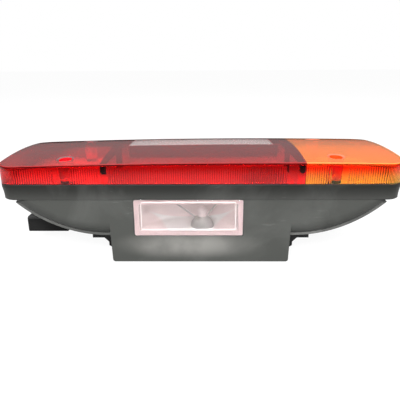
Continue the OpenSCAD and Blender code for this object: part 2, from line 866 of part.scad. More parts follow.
module bulb(x, y) {
  base_h = holder_top - bore_z + bulb_neck;
  color(bulb_glass)
    translate([x, y, bore_z]) {
      cylinder(r = bulb_base_r, h = base_h);
      translate([0, 0, base_h + bulb_r * 0.8]) sphere(r = bulb_r);
    }
}

module holder_fog() { holder(-outer_bowl_x, 0); }
module holder_stop() { holder(stop_bowl_x, stop_bowl_y); }
module holder_reverse() { holder(0, reverse_bulb_y); }
module holder_indicator() { holder(outer_bowl_x, 0); }
module bulb_fog() { bulb(-outer_bowl_x, 0); }
module bulb_stop() { bulb(stop_bowl_x, stop_bowl_y); }
module bulb_reverse() { bulb(0, reverse_bulb_y); }
module bulb_indicator() { bulb(outer_bowl_x, 0); }

// Flat strip that touches the underside of each holder's flange, grown by g for its slot
module earth_strip_shape(g) {
  y0 = holder_r + 2 * fit;
  reach = holder_flange_r - holder_r - fit;
  translate([0, 0, flange_z - strip_t - g])
    linear_extrude(strip_t + 2 * g) {
      translate([-outer_bowl_x - strip_w / 2, y0 - g]) square([2 * outer_bowl_x + strip_w, strip_w + 2 * g]);
      translate([-strip_w / 2, y0]) square([strip_w, reverse_bulb_y - holder_r - 2 * fit - y0]);
      translate([stop_bowl_x - strip_w / 2, stop_bowl_y + holder_r + 2 * fit])
        square([strip_w, y0 + over - stop_bowl_y - holder_r - 2 * fit]);
    }
}

module earth_strip() {
  color(brass) earth_strip_shape(0);
}

// Socket body with its mouth towards the end of the lamp, and a spigot up into the wing
plug_x0 = -plug_x - plug_reach;
plug_mid_z = plug_z + plug_h / 2;
flange_top = pad_z - entry_seal_t;
entry_top = seat_z - bowl_t - over;

module side_block(l, w, h, r, x0) {
  translate([x0, 0, plug_mid_z]) rotate([90, 0, 90]) linear_extrude(l) rounded_2d(w, h, r);
}

// Two rows of pins in the back wall of the mouth
module pin_places() {
  for (i = [-1.5:1:1.5], j = [-0.5, 0.5])
    translate([plug_x0 + plug_mouth, i * pin_pitch, plug_mid_z + j * pin_pitch])
      rotate([0, 90, 0]) children();
}

module connector_socket() {
  color(black_plastic)
    difference() {
      union() {
        side_block(plug_l, plug_w, plug_h, plug_r, plug_x0);
        translate([-plug_x, 0, plug_mid_z]) cylinder(r = entry_flange_r, h = flange_top - plug_mid_z);
        translate([-plug_x, 0, plug_mid_z]) cylinder(r = entry_r, h = entry_top - plug_mid_z);
      }
      side_block(plug_mouth + over, plug_w - 2 * plug_wall, plug_h - 2 * plug_wall, plug_r / 2,
        plug_x0 - over);
      pin_places() translate([0, 0, -over]) cylinder(r = pin_r + slide_fit, h = pin_in + 2 * over);
    }
}

module connector_pins() {
  color(brass) pin_places() translate([0, 0, -pin_out]) cylinder(r = pin_r, h = pin_out + pin_in);
}

module connector_seal() {
  color(rubber_black)
    translate([-plug_x, 0, flange_top])
      difference() {
        cylinder(r = entry_flange_r - entry_seal_in, h = entry_seal_t);
        translate([0, 0, -over]) cylinder(r = entry_r + fit, h = entry_seal_t + 2 * over);
      }
}

module breather() {
  color(black_plastic)
    translate([breather_x, 0, breather_pad_z - breather_h]) {
      cylinder(r = breather_r, h = breather_h);
      cylinder(r = breather_stem_r, h = breather_h + breather_stem);
    }
}

// Angle piece in the corner between wing and foot, right side
module bracket() {
  toe = 1.5;
  web = bracket_t + bracket_web;
  difference() {
    translate([bracket_in, bracket_w / 2, wing_z - slide_fit])
      rotate([90, 0, 0])
        linear_extrude(bracket_w)
          polygon([[0, 0], [bracket_l, 0], [bracket_l, -bracket_t], [web, -bracket_t], [bracket_t, -web],
            [bracket_t, toe - bracket_h], [bracket_t / 2, -bracket_h], [0, toe - bracket_h]]);
    bracket_screw_places()
      translate([0, 0, wing_z - bracket_t - over])
        cylinder(r = bracket_screw_r + slide_fit, h = bracket_t + 2 * over);
  }
}

module bracket_right() {
  color(black_plastic) bracket();
}

module bracket_left() {
  color(black_plastic) mirror([1, 0, 0]) bracket();
}

module bracket_screws() {
  color(steel)
    bracket_screw_places()
      translate([0, 0, wing_z - slide_fit - bracket_t])
        mirror([0, 0, 1])
          pan_screw(bracket_head_r, bracket_head_h, bracket_screw_r, bracket_t + bracket_screw_len);
}

module stud_inserts() {
  color(brass)
    stud_places()
      difference() {
        cylinder(r = insert_r, h = insert_l);
        translate([0, 0, -over]) cylinder(r = stud_bore_r, h = insert_l - wall + over);
      }
}

housing();
lens_red();
lens_amber();
lens_clear();
lens_gasket();
lens_screws();
plate_window();
plate_gasket();
plate_reflector();
plate_holder();
plate_contacts();
plate_bulb();
reflector_left();
reflector_centre();
reflector_right();
holder_fog();
holder_stop();
holder_reverse();
holder_indicator();
bulb_fog();
bulb_stop();
bulb_reverse();
bulb_indicator();
earth_strip();
connector_socket();
connector_pins();
connector_seal();
breather();
bracket_left();
bracket_right();
bracket_screws();
stud_inserts();
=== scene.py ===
import json
import math

import bmesh
import bpy
import numpy as np
from mathutils import Matrix, Vector


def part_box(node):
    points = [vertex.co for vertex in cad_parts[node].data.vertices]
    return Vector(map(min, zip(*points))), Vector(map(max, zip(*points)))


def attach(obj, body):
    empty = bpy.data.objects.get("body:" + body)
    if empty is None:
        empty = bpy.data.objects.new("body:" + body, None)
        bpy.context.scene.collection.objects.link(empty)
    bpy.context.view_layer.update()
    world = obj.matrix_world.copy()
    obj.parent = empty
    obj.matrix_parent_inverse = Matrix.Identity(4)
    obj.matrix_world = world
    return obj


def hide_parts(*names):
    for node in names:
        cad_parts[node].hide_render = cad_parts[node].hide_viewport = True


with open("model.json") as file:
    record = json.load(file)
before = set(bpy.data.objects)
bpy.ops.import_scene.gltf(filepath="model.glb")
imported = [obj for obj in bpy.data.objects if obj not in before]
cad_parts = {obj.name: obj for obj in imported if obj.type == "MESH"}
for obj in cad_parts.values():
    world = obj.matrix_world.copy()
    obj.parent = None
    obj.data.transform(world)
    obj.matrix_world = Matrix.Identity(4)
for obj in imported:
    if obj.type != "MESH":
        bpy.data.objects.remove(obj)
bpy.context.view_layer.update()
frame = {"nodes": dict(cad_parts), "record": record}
mm = 0.001
print("frame loaded:", len(frame["nodes"]), "nodes")


# Mesh helpers
quarterTurn = np.linspace(0, math.pi / 2, 5)  # angles of a small rounded edge


def gridFaces(rows, columns):
    # quads of a grid of points stored row after row
    index = np.arange(rows * columns).reshape(rows, columns)
    return np.stack([index[:-1, :-1], index[:-1, 1:], index[1:, 1:], index[1:, :-1]], -1).reshape(-1, 4)


def sheetPatch(points, keep=None, finish=0):
    # a grid of points (rows, columns, 3) as vertices, quads and the number of their finish;
    # keep masks out cells
    faces = gridFaces(*points.shape[:2])
    if keep is not None:
        faces = faces[keep.reshape(-1)]
    return points.reshape(-1, 3), faces, finish


def ringPatch(rings, finish=0):
    # quads between neighbouring rings of points, each ring (n, 3)
    return sheetPatch(np.stack(rings), finish=finish)


def fanPatch(coarse, dense, steps, finish=0):
    # one many-sided face between each coarse segment and its run of dense points
    start = np.arange(len(coarse) - 1)[:, None]
    run = len(coarse) + start * steps + np.arange(steps, -1, -1)[None, :]
    return np.concatenate([coarse, dense]), np.concatenate([start, start + 1, run], 1), finish


def capPatch(loop, finish=0):
    # a flat face inside a closed loop
    return loop[:-1], np.arange(len(loop) - 1)[None, :], finish


def weldPatches(patches, grain=2e-4):
    # joins patches whose border points fall on the same place, rounded to grains of a millimetre
    points, groups, shift = [], [], 0
    for vertices, faces, finish in patches:
        points.append(vertices)
        groups.append((faces + shift, finish))
        shift += len(vertices)
    points = np.concatenate(points)
    places = np.round(points / grain).astype(np.int64)
    _, first, inverse = np.unique(places, axis=0, return_index=True, return_inverse=True)
    return points[first], [(inverse.reshape(-1)[faces], finish) for faces, finish in groups]


def buildMesh(name, patches, materials, sharpAngle=35):
    # welded patches, in millimetres, as a smooth-shaded object whose normals point outwards
    points, groups = weldPatches(patches)
    groups = [(faces, finish) for faces, finish in groups if len(faces)]
    mesh = bpy.data.meshes.new(name)
    corners = np.concatenate([faces.reshape(-1) for faces, _ in groups]).astype(np.int32)
    sizes = np.concatenate([np.full(len(faces), faces.shape[1]) for faces, _ in groups]).astype(np.int32)
    finishes = np.concatenate([np.full(len(faces), finish) for faces, finish in groups]).astype(np.int32)
    mesh.vertices.add(len(points))
    mesh.vertices.foreach_set("co", (points * mm).astype(np.float32).reshape(-1))
    mesh.loops.add(len(corners))
    mesh.loops.foreach_set("vertex_index", corners)
    mesh.polygons.add(len(sizes))
    mesh.polygons.foreach_set("loop_start", (np.cumsum(sizes) - sizes).astype(np.int32))
    for material in materials:
        mesh.materials.append(material)
    mesh.polygons.foreach_set("material_index", finishes)
    mesh.update(calc_edges=True)
    work = bmesh.new()
    work.from_mesh(mesh)
    bmesh.ops.dissolve_degenerate(work, dist=1e-7, edges=work.edges)
    bmesh.ops.recalc_face_normals(work, faces=work.faces)
    openEdges = sum(not e.is_manifold for e in work.edges)
    work.to_mesh(mesh)
    work.free()
    mesh.polygons.foreach_set("use_smooth", np.ones(len(mesh.polygons), bool))
    mesh.set_sharp_from_angle(angle=math.radians(sharpAngle))
    piece = bpy.data.objects.new(name, mesh)
    bpy.context.scene.collection.objects.link(piece)
    print(f"  {name}: {len(mesh.polygons)} faces, {openEdges} open edges")
    return piece


def place(piece, slot, *nodes):
    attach(piece, "root")
    if nodes:
        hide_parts(*nodes)


def boxOf(solid):
    # low and high corner of a CAD node, in millimetres
    return (np.array(corner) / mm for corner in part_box(solid))


def latticeLines(stops, pitch):
    # places between the stops, about one pitch apart, with every stop among them
    stops = sorted(stops)
    parts = [np.linspace(p, q, max(1, round((q - p) / pitch)) + 1)[:-1] for p, q in zip(stops, stops[1:])]
    return np.append(np.concatenate(parts), stops[-1])


# Shader helpers
def feed(tree, socket, value):
    # links the socket, or sets it; a colour is three numbers
    if isinstance(value, bpy.types.NodeSocket):
        tree.links.new(value, socket)
    else:
        socket.default_value = (*value, 1) if socket.type == "RGBA" else value


def setSockets(tree, shader, values):
    for key, value in values.items():
        feed(tree, shader.inputs[key], value)


def node(tree, kind, inputs=None, **settings):
    # a node with its settings, whose inputs are linked or set
    made = tree.nodes.new("ShaderNode" + kind)
    for key, value in settings.items():
        setattr(made, key, value)
    setSockets(tree, made, inputs or {})
    return made


def combine(tree, operation, first, second):
    return node(tree, "Math", {0: first, 1: second}, operation=operation).outputs["Value"]


def ramp(tree, value, start, end, low=0.0, high=1.0, smooth=False):
    # value carried from start..end to low..high and held at both ends
    inputs = {"Value": value, "From Min": start, "From Max": end, "To Min": low, "To Max": high}
    curve = "SMOOTHSTEP" if smooth else "LINEAR"
    return node(tree, "MapRange", inputs, interpolation_type=curve).outputs["Result"]


def noise(tree, spot, scale, detail, roughness=0.5, distortion=0.0):
    inputs = {"Vector": spot, "Scale": scale, "Detail": detail, "Roughness": roughness,
              "Distortion": distortion}
    return node(tree, "TexNoise", inputs).outputs["Fac"]


def mixColor(tree, factor, first, second):
    mix = node(tree, "Mix", {"Factor": factor}, data_type="RGBA")
    for key, value in (("A", first), ("B", second)):
        feed(tree, next(i for i in mix.inputs if i.name == key and i.type == "RGBA"), value)
    return next(o for o in mix.outputs if o.type == "RGBA")


def objectPlace(tree):
    return node(tree, "TexCoord").outputs["Object"]


def separate(tree, vector):
    return node(tree, "SeparateXYZ", {"Vector": vector}).outputs


def shaderGroup(name, inputs, outputs):
    group = bpy.data.node_groups.new(name, "ShaderNodeTree")
    for key, kind, value in inputs:
        group.interface.new_socket(key, in_out="INPUT", socket_type=kind).default_value = value
    for key, kind in outputs:
        group.interface.new_socket(key, in_out="OUTPUT", socket_type=kind)
    return group, group.nodes.new("NodeGroupInput").outputs, group.nodes.new("NodeGroupOutput").inputs


# Moulded grain and marks of use, on every opaque material
wear = {"fineGrain": 900.0, "coarseGrain": 55.0, "coarseShare": 2.5, "grainStrength": 0.2,
        "grainDepth": 0.0002, "cloudScale": 14.0, "cloudRange": (0.48, 0.75),
        "scuffStretch": (26.0, 60.0, 190.0), "scuffTurn": (0.0, 0.35, 0.2), "scuffRange": (0.62, 0.72),
        "fieldScale": 22.0, "fieldRange": (0.5, 0.68),
        "dustScale": 320.0, "dustRange": (0.45, 0.75), "dustTilt": (0.3, 1.0)}


def makeGrainGroup():
    # grain of a moulded surface: fine and coarse noise added up as a height
    group, given, out = shaderGroup("mouldGrain", [("Scale", "NodeSocketFloat", wear["fineGrain"])],
                                    [("Height", "NodeSocketFloat")])
    spot = objectPlace(group)
    fine = noise(group, spot, given["Scale"], 3.0, 0.6)
    coarse = noise(group, spot, wear["coarseGrain"], 2.0)
    total = node(group, "Math", {0: coarse, 1: wear["coarseShare"], 2: fine}, operation="MULTIPLY_ADD")
    feed(group, out["Height"], total.outputs["Value"])
    return group


def makeUseGroup():
    # marks of use: cloudy patches, thin scuffs that run along the lamp in fields, and dust on
    # faces that look up
    group, given, out = shaderGroup(
        "marksOfUse",
        [("Color", "NodeSocketColor", (0.1, 0.1, 0.1, 1)),
         ("Mark Color", "NodeSocketColor", (0.3, 0.3, 0.29, 1)), ("Clouds", "NodeSocketFloat", 0.3),
         ("Scuffs", "NodeSocketFloat", 0.3), ("Dust", "NodeSocketFloat", 0.2)],
        [("Color", "NodeSocketColor"), ("Mask", "NodeSocketFloat")])
    spot = objectPlace(group)
    clouds = ramp(group, noise(group, spot, wear["cloudScale"], 5.0, 0.62, 0.6), *wear["cloudRange"])
    stretched = node(group, "Mapping", {"Vector": spot, "Scale": wear["scuffStretch"],
                                        "Rotation": wear["scuffTurn"]}).outputs["Vector"]
    scuffs = ramp(group, noise(group, stretched, 1.0, 6.0, 0.7), *wear["scuffRange"])
    fields = ramp(group, noise(group, spot, wear["fieldScale"], 1.0), *wear["fieldRange"])
    upward = separate(group, node(group, "NewGeometry").outputs["Normal"])["Z"]
    specks = ramp(group, noise(group, spot, wear["dustScale"], 2.0), *wear["dustRange"])
    dust = combine(group, "MULTIPLY", ramp(group, upward, *wear["dustTilt"]), specks)
    total = combine(group, "MULTIPLY", clouds, given["Clouds"])
    for mask, amount in ((combine(group, "MULTIPLY", scuffs, fields), "Scuffs"), (dust, "Dust")):
        total = combine(group, "ADD", total, combine(group, "MULTIPLY", mask, given[amount]))
    total = node(group, "Clamp", {"Value": total}).outputs["Result"]
    feed(group, out["Color"], mixColor(group, total, given["Color"], given["Mark Color"]))
    feed(group, out["Mask"], total)
    return group


grainGroup, useGroup = makeGrainGroup(), makeUseGroup()


# Materials
def newMaterial(name):
    material = bpy.data.materials.new(name)
    material.use_nodes = True
    tree = material.node_tree
    return material, tree, tree.nodes["Principled BSDF"]


def addGrain(tree, shader, scale, strength):
    grain = node(tree, "Group", {"Scale": scale}, node_tree=grainGroup)
    bump = node(tree, "Bump", {"Height": grain.outputs["Height"], "Strength": strength,
                               "Distance": wear["grainDepth"]})
    feed(tree, shader.inputs["Normal"], bump.outputs["Normal"])


def useMarks(tree, color, markColor, clouds, scuffs, dust):
    # the colour with marks of use on it, and the marks' mask
    inputs = {"Color": color, "Mark Color": markColor, "Clouds": clouds, "Scuffs": scuffs, "Dust": dust}
    marks = node(tree, "Group", inputs, node_tree=useGroup)
    return marks.outputs["Color"], marks.outputs["Mask"]


def solidPlastic(name, color, markColor, roughness, clouds=0.3, scuffs=0.3, dust=0.2, **more):
    # an opaque moulded plastic, rubber or metal with marks of use and a moulded grain
    material, tree, shader = newMaterial(name)
    shade, mask = useMarks(tree, color, markColor, clouds, scuffs, dust)
    rough = ramp(tree, mask, 0.0, 1.0, *roughness)
    setSockets(tree, shader, {"Base Color": shade, "Roughness": rough, **more})
    addGrain(tree, shader, wear["fineGrain"], wear["grainStrength"])
    return material


# the rim colours are painted shade, darker up the rim
housingLook = {"body": (0.039, 0.0405, 0.0375), "rim": (0.0315, 0.032, 0.030), "rimHeight": (0.0664, 0.0671),
               "upperShade": (0.0105, 0.011, 0.0098), "upperHeight": (0.067, 0.080),
               # painted highlight: the pale colour, with its spot and half sizes, under the number-plate
               # window
               "highlightPale": (0.148, 0.145, 0.136), "highlightSpot": (-0.012, 0.019), "highlightHalf": (0.085, 0.019),
               "mark": (0.13, 0.132, 0.126), "marks": (0.2, 0.5, 0.15), "roughness": (0.42, 0.62)}


def housingPlastic():
    # dark grey, darker up the rim as painted shade, paler in a painted highlight under the number-plate
    # window, with pale scuffs
    look = housingLook
    material, tree, shader = newMaterial("housingPlastic")
    spot = objectPlace(tree)
    height = separate(tree, spot)["Z"]
    # painted shade: darker from the rim's foot, and darker still up to its top under the lens
    shade = mixColor(tree, ramp(tree, height, *look["rimHeight"]), look["body"], look["rim"])
    shade = mixColor(tree, ramp(tree, height, *look["upperHeight"]), shade, look["upperShade"])
    # painted highlight: a pale patch, mottled by noise, under the number-plate window
    (x, z), (halfX, halfZ) = look["highlightSpot"], look["highlightHalf"]
    centred = node(tree, "Mapping", {"Vector": spot, "Location": (-x / halfX, 0.0, -z / halfZ),
                                     "Scale": (1 / halfX, 0.0, 1 / halfZ)})
    away = node(tree, "VectorMath", {0: centred.outputs["Vector"]}, operation="LENGTH").outputs["Value"]
    highlightMottle = ramp(tree, noise(tree, spot, 42.0, 4.0), 0.35, 0.62, 0.6, 1.0)
    pale = combine(tree, "MULTIPLY", ramp(tree, away, 1.0, 0.15, smooth=True), highlightMottle)
    shade, mask = useMarks(tree, mixColor(tree, pale, shade, look["highlightPale"]), look["mark"], *look["marks"])
    rough = ramp(tree, mask, 0.0, 1.0, *look["roughness"])
    setSockets(tree, shader, {"Base Color": shade, "Roughness": rough, "Specular IOR Level": 0.16})
    addGrain(tree, shader, 1100.0, 0.25)
    return material


def seeThrough(name, roughness, haze, transmission, specular):
    # transparent plastic without its tint: fine dust dulls it in clouds and a slow ripple bends its surface
    material, tree, shader = newMaterial(name)
    spot = objectPlace(tree)
    film, wave = noise(tree, spot, 30.0, 5.0, 0.65), noise(tree, spot, 45.0, 1.0)
    ripple = node(tree, "Bump", {"Height": wave, "Strength": 0.04, "Distance": 0.0005})
    setSockets(tree, shader, {"Roughness": ramp(tree, film, 0.35, 0.75, roughness, roughness + haze),
                              "Normal": ripple.outputs["Normal"], "Transmission Weight": transmission,
                              "IOR": 1.49, "Specular IOR Level": specular})
    return material, tree, shader.inputs["Base Color"], spot


def clearPlastic(name, color, deep, roughness, haze=0.06, transmission=1.0, specular=0.5):
    # see-through plastic whose colour drifts between two tints
    material, tree, tint, spot = seeThrough(name, roughness, haze, transmission, specular)
    feed(tree, tint, mixColor(tree, noise(tree, spot, 18.0, 3.0), color, deep))
    return material


def platePlastic(name, full, pale, beyond, within, transmission):
    # see-through plate with painted light: its tint is fuller in a lit patch nearer than the middle line, and
    # between two places along the lamp; elsewhere its duller tint is painted shade
    material, tree, tint, spot = seeThrough(name, 0.03, 0.06, transmission, 0.5)
    along = separate(tree, spot)
    # painted light: the lit patch where the tint is fuller
    litField = combine(tree, "MULTIPLY", ramp(tree, along["Y"], 0.004, -0.004), ramp(tree, along["X"], *beyond))
    litField = combine(tree, "MULTIPLY", litField, ramp(tree, along["X"], *within, smooth=True))
    feed(tree, tint, mixColor(tree, litField, pale, full))
    return material


def skirtPlastic(name, foot, top, heights):
    # clear skirt of a lens, lighter at its foot as painted light and deeper towards the plate as painted
    # shade
    material, tree, tint, spot = seeThrough(name, 0.02, 0.06, 1.0, 0.36)
    # painted light and shade up the skirt
    rise = ramp(tree, separate(tree, spot)["Z"], *heights, smooth=True)
    feed(tree, tint, mixColor(tree, rise, foot, top))
    return material


# painted light and shade: white is the lit patch, rose the shade round it
linerLook = {"rose": (0.96, 0.85, 0.84), "white": (1.0, 1.0, 0.99), "mark": (0.88, 0.76, 0.75),
             "toMiddle": (0.0105, 0.0655, 0.0), "slant": (0.0, 0.686, 1.0), "slantEdge": (0.0625, 0.0610),
             "corner": (-0.956, 0.317, 1.0), "cornerEdge": (0.0110, 0.0150)}


def linerPlastic():
    # satin rose plastic with a patch of painted light, white, that hangs like a smile below the painted
    # shadow edge of the window's top;
    # the rose round it is painted shade: the patch lies below a slanting plane, z + 0.686 y, and between two
    # more that cut off the lower corners, z + 0.317 y - 0.956 |x|
    look = linerLook
    material, tree, shader = newMaterial("linerPlastic")
    moved = node(tree, "VectorMath", {0: objectPlace(tree), 1: look["toMiddle"]}, operation="ADD")
    folded = node(tree, "VectorMath", {0: moved.outputs["Vector"]}, operation="ABSOLUTE").outputs["Vector"]

    def side(plane, edge):
        level = node(tree, "VectorMath", {0: folded, 1: look[plane]}, operation="DOT_PRODUCT")
        return ramp(tree, level.outputs["Value"], *look[edge])

    # painted light: white below the painted shadow edge, rose painted shade elsewhere
    white = combine(tree, "MULTIPLY", side("slant", "slantEdge"), side("corner", "cornerEdge"))
    shade, _ = useMarks(tree, mixColor(tree, white, look["rose"], look["white"]), look["mark"], 0.2, 0.1, 0.1)
    setSockets(tree, shader, {"Base Color": shade, "Roughness": 0.35})
    addGrain(tree, shader, 500.0, 0.08)
    return material


def trayPlastic(name, shadow, bright, brightFrom):
    # tray of a chamber, greyer up to a place along the lamp as painted shade, and white beyond it
    material, tree, shader = newMaterial(name)
    step = ramp(tree, separate(tree, objectPlace(tree))["X"], brightFrom, brightFrom + 0.002)
    shade, _ = useMarks(tree, mixColor(tree, step, shadow, bright), (0.5, 0.48, 0.46), 0.25, 0.1, 0.2)
    setSockets(tree, shader, {"Base Color": shade, "Roughness": 0.3})
    addGrain(tree, shader, 500.0, 0.1)
    return material


mats = {
    "housing_plastic": housingPlastic(),
    # the skirts' light feet are painted light, their deep tops painted shade
    "red_lens": skirtPlastic("redSkirt", (1.0, 0.012, 0.012), (0.60, 0.002, 0.003), (0.088, 0.100)),
    "amber_lens": skirtPlastic("amberSkirt", (1.0, 1.0, 0.14), (1.0, 0.060, 0.004), (0.084, 0.099)),
    "clear_lens": clearPlastic("clearPane", (1.0, 0.985, 0.985), (1.0, 0.97, 0.97), 0.02),
    "seal_rubber": solidPlastic("sealRubber", (0.018, 0.018, 0.018), (0.06, 0.06, 0.058), (0.6, 0.75),
                                0.3, 0.1, 0.3),
    "screw_steel": solidPlastic("screwSteel", (0.62, 0.62, 0.63), (0.32, 0.3, 0.28), (0.28, 0.5),
                                0.3, 0.3, 0.1, Metallic=1.0),
    "white_reflector": trayPlastic("whiteTray", (0.91, 0.90, 0.89), (0.91, 0.90, 0.89), 1.0),
    "holder_plastic": solidPlastic("holderPlastic", (0.36, 0.35, 0.335), (0.5, 0.48, 0.46), (0.4, 0.55),
                                   0.3, 0.2, 0.2),
    "bulb_glass": clearPlastic("bulbGlass", (0.95, 0.95, 0.95), (0.9, 0.9, 0.9), 0.02),
    "brass_strip": solidPlastic("brassStrip", (0.72, 0.52, 0.22), (0.4, 0.27, 0.12), (0.28, 0.5),
                                0.4, 0.3, 0.1, Metallic=1.0),
    "black_plastic": solidPlastic("blackPlastic", (0.005, 0.005, 0.005), (0.022, 0.022, 0.022), (0.45, 0.6),
                                  0.3, 0.3, 0.2, **{"Specular IOR Level": 0.15}),
}
liner = linerPlastic()
# painted highlight: the bead's near-white frosted tint makes the clear ridge a bright line
beadHighlight = clearPlastic("beadHighlight", (0.95, 0.86, 0.85), (0.92, 0.82, 0.82), 0.35, transmission=0.35)
lipPlastic = solidPlastic("lipPlastic", (0.055, 0.056, 0.053), (0.2, 0.2, 0.19), (0.4, 0.6), 0.4, 0.5, 0.1)
# painted shade: the centre tray's greyer part
greyTray = trayPlastic("centreTray", (0.72, 0.42, 0.42), (0.90, 0.88, 0.87), 0.078)
paneFrost = clearPlastic("paneFrost", (0.93, 0.82, 0.81), (0.88, 0.76, 0.75), 0.05, 0.08, transmission=0.88)
paneSeam = clearPlastic("paneSeam", (0.32, 0.10, 0.10), (0.25, 0.07, 0.07), 0.3, transmission=0.2)
flangeRose = solidPlastic("flangeRose", (0.84, 0.65, 0.65), (0.85, 0.72, 0.70), (0.3, 0.45), 0.4, 0.2, 0.1)
legGrey = solidPlastic("legGrey", (0.52, 0.48, 0.47), (0.42, 0.38, 0.37), (0.35, 0.5), 0.3, 0.2, 0.1)
frostedGlass = clearPlastic("frostedGlass", (0.95, 0.85, 0.84), (0.92, 0.81, 0.80), 0.45, transmission=0.3)

# Finishes of the lens pieces, in the order of skirt, plate, edge, well and lip
redFinishes = [
    mats["red_lens"],
    # the plates' fuller near tint is painted light, their other tint painted shade
    platePlastic("redPlate", (1.0, 0.014, 0.018), (0.55, 0.009, 0.012), (-0.0965, -0.0975),
                 (-0.156, -0.128), 0.955),
    # the red edge's dark tint is painted shade on the rounded edge
    clearPlastic("redEdge", (0.21, 0.007, 0.007), (0.17, 0.005, 0.005), 0.3, transmission=0.2, specular=0.03),
    clearPlastic("redWell", (0.92, 0.006, 0.016), (0.80, 0.004, 0.010), 0.25, transmission=0.45),
    # the lip's dark grey-red is painted shade, where the screw boss below blocks the light seen through the
    # plate
    clearPlastic("redLip", (0.085, 0.030, 0.032), (0.065, 0.022, 0.024), 0.4, transmission=0.2, specular=0.1)]
amberFinishes = [
    mats["amber_lens"],
    platePlastic("amberPlate", (1.0, 0.26, 0.006), (0.84, 0.24, 0.014), (0.0, 0.001), (-1.0, -0.9), 0.80),
    clearPlastic("amberEdge", (0.95, 0.24, 0.035), (0.88, 0.19, 0.025), 0.3, transmission=0.5, specular=0.03),
    clearPlastic("amberWell", (1.0, 0.10, 0.010), (0.95, 0.06, 0.006), 0.25, transmission=0.55),
    # the lip's dark tint is painted shade, as on the red lens
    clearPlastic("amberLip", (0.34, 0.085, 0.035), (0.28, 0.065, 0.025), 0.4, transmission=0.2, specular=0.1)]
plateFinish, edgeFinish, wellFinish, lipFinish = range(1, 5)

slotOf = {s["node"]: s["material_slot"] for s in frame["record"]["subparts"]}
ownFinish = {"reflector_centre": greyTray, "plate_contacts": legGrey, "plate_bulb": frostedGlass}
for name, part in frame["nodes"].items():
    part.data.materials.clear()
    part.data.materials.append(ownFinish.get(name) or mats[slotOf[name]])
print("materials made")

# Lens: crowned plate, rounded edge, fluted skirt and screw wells
lens = {"cornerRadius": 18.0, "wall": 2.8, "edgeRound": 0.9, "innerRound": 0.6, "plateBorder": 0.6,
        "skirt": 21.5, "crownRise": 4.4, "sweepRadius": 7500.0, "sweepX": 46.0, "jointX": 102.0,
        "paneHalf": 80.5, "paneNear": 2.5, "paneFar": 56.5, "paneGap": 0.2, "paneChamfer": 0.4,
        "panePitch": 4.0, "wellX": 135.0, "wellY": 50.0, "wellRadius": 5.2, "wellWall": 1.4, "wellDraft": 1.3,
        "wellFloor": 2.5, "wellLip": 2.3, "lipDip": 0.8, "lipCurve": 1.5, "screwHole": 2.0, "wellPatch": 9.0,
        "flutePitch": 2.2, "fluteDepth": 0.5, "fluteSteps": 6, "fluteBottom": 1.2, "smoothHalf": 8.0,
        "tongueX": -94.2, "tongueHalf": 4.8, "smoothJoint": 18.0}
tiny = 1e-6  # slack when lattice places are compared
lensBox = np.array([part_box("lens_red")[0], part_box("lens_amber")[1]]) / mm
halfLength, halfWidth = lensBox[1][0], lensBox[1][1]
lensBottom = lensBox[0][2]
edgeHeight = lensBottom + lens["skirt"]
plateOut = lens["edgeRound"] + lens["plateBorder"]  # how far the two faces of the plate are drawn in
plateIn = lens["wall"] + lens["innerRound"] + lens["plateBorder"]
crownRadius = (halfWidth ** 2 + lens["crownRise"] ** 2) / (2 * lens["crownRise"])


def crownHeight(x, y, drop=0.0):
    # height over (x, y): an arc across the lamp whose radius shrinks with the square of the
    # distance from the highest point along the lamp, all lowered by drop
    radius = crownRadius - drop - (x - lens["sweepX"]) ** 2 / (2 * lens["sweepRadius"])
    return edgeHeight + lens["crownRise"] - crownRadius + np.sqrt(radius ** 2 - y ** 2)


def planPoint(u, v, inset=0.0):
    # lattice place (u, v) of the rectangle, with its corner squares bent to quarter discs:
    # x = r a sqrt(1 - b b / 2), y = r b sqrt(1 - a a / 2), and everything drawn in by inset
    r = lens["cornerRadius"]
    a = np.clip((np.abs(u) - (halfLength - r)) / r, 0, 1)
    b = np.clip((np.abs(v) - (halfWidth - r)) / r, 0, 1)
    x = np.minimum(np.abs(u), halfLength - r) + (r - inset) * a * np.sqrt(1 - b * b / 2)
    y = np.minimum(np.abs(v), halfWidth - r) + (r - inset) * b * np.sqrt(1 - a * a / 2)
    return np.sign(u) * x, np.sign(v) * y


def plateSheet(us, vs, inset, drop, keep):
    # the lens plate over the lattice, on the crown lowered by drop
    u, v = np.meshgrid(us, vs, indexing="ij")
    x, y = planPoint(u, v, inset)
    return sheetPatch(np.stack([x, y, crownHeight(x, y, drop)], -1), keep, plateFinish)


def loopAround(us, vs):
    # lattice places round a block of cells, once round and closed
    u = np.concatenate([us, np.full(len(vs) - 2, us[-1]), us[::-1], np.full(len(vs) - 2, us[0]), us[:1]])
    v = np.concatenate([np.full(len(us), vs[0]), vs[1:-1], np.full(len(us), vs[-1]), vs[-2:0:-1], vs[:1]])
    return u, v


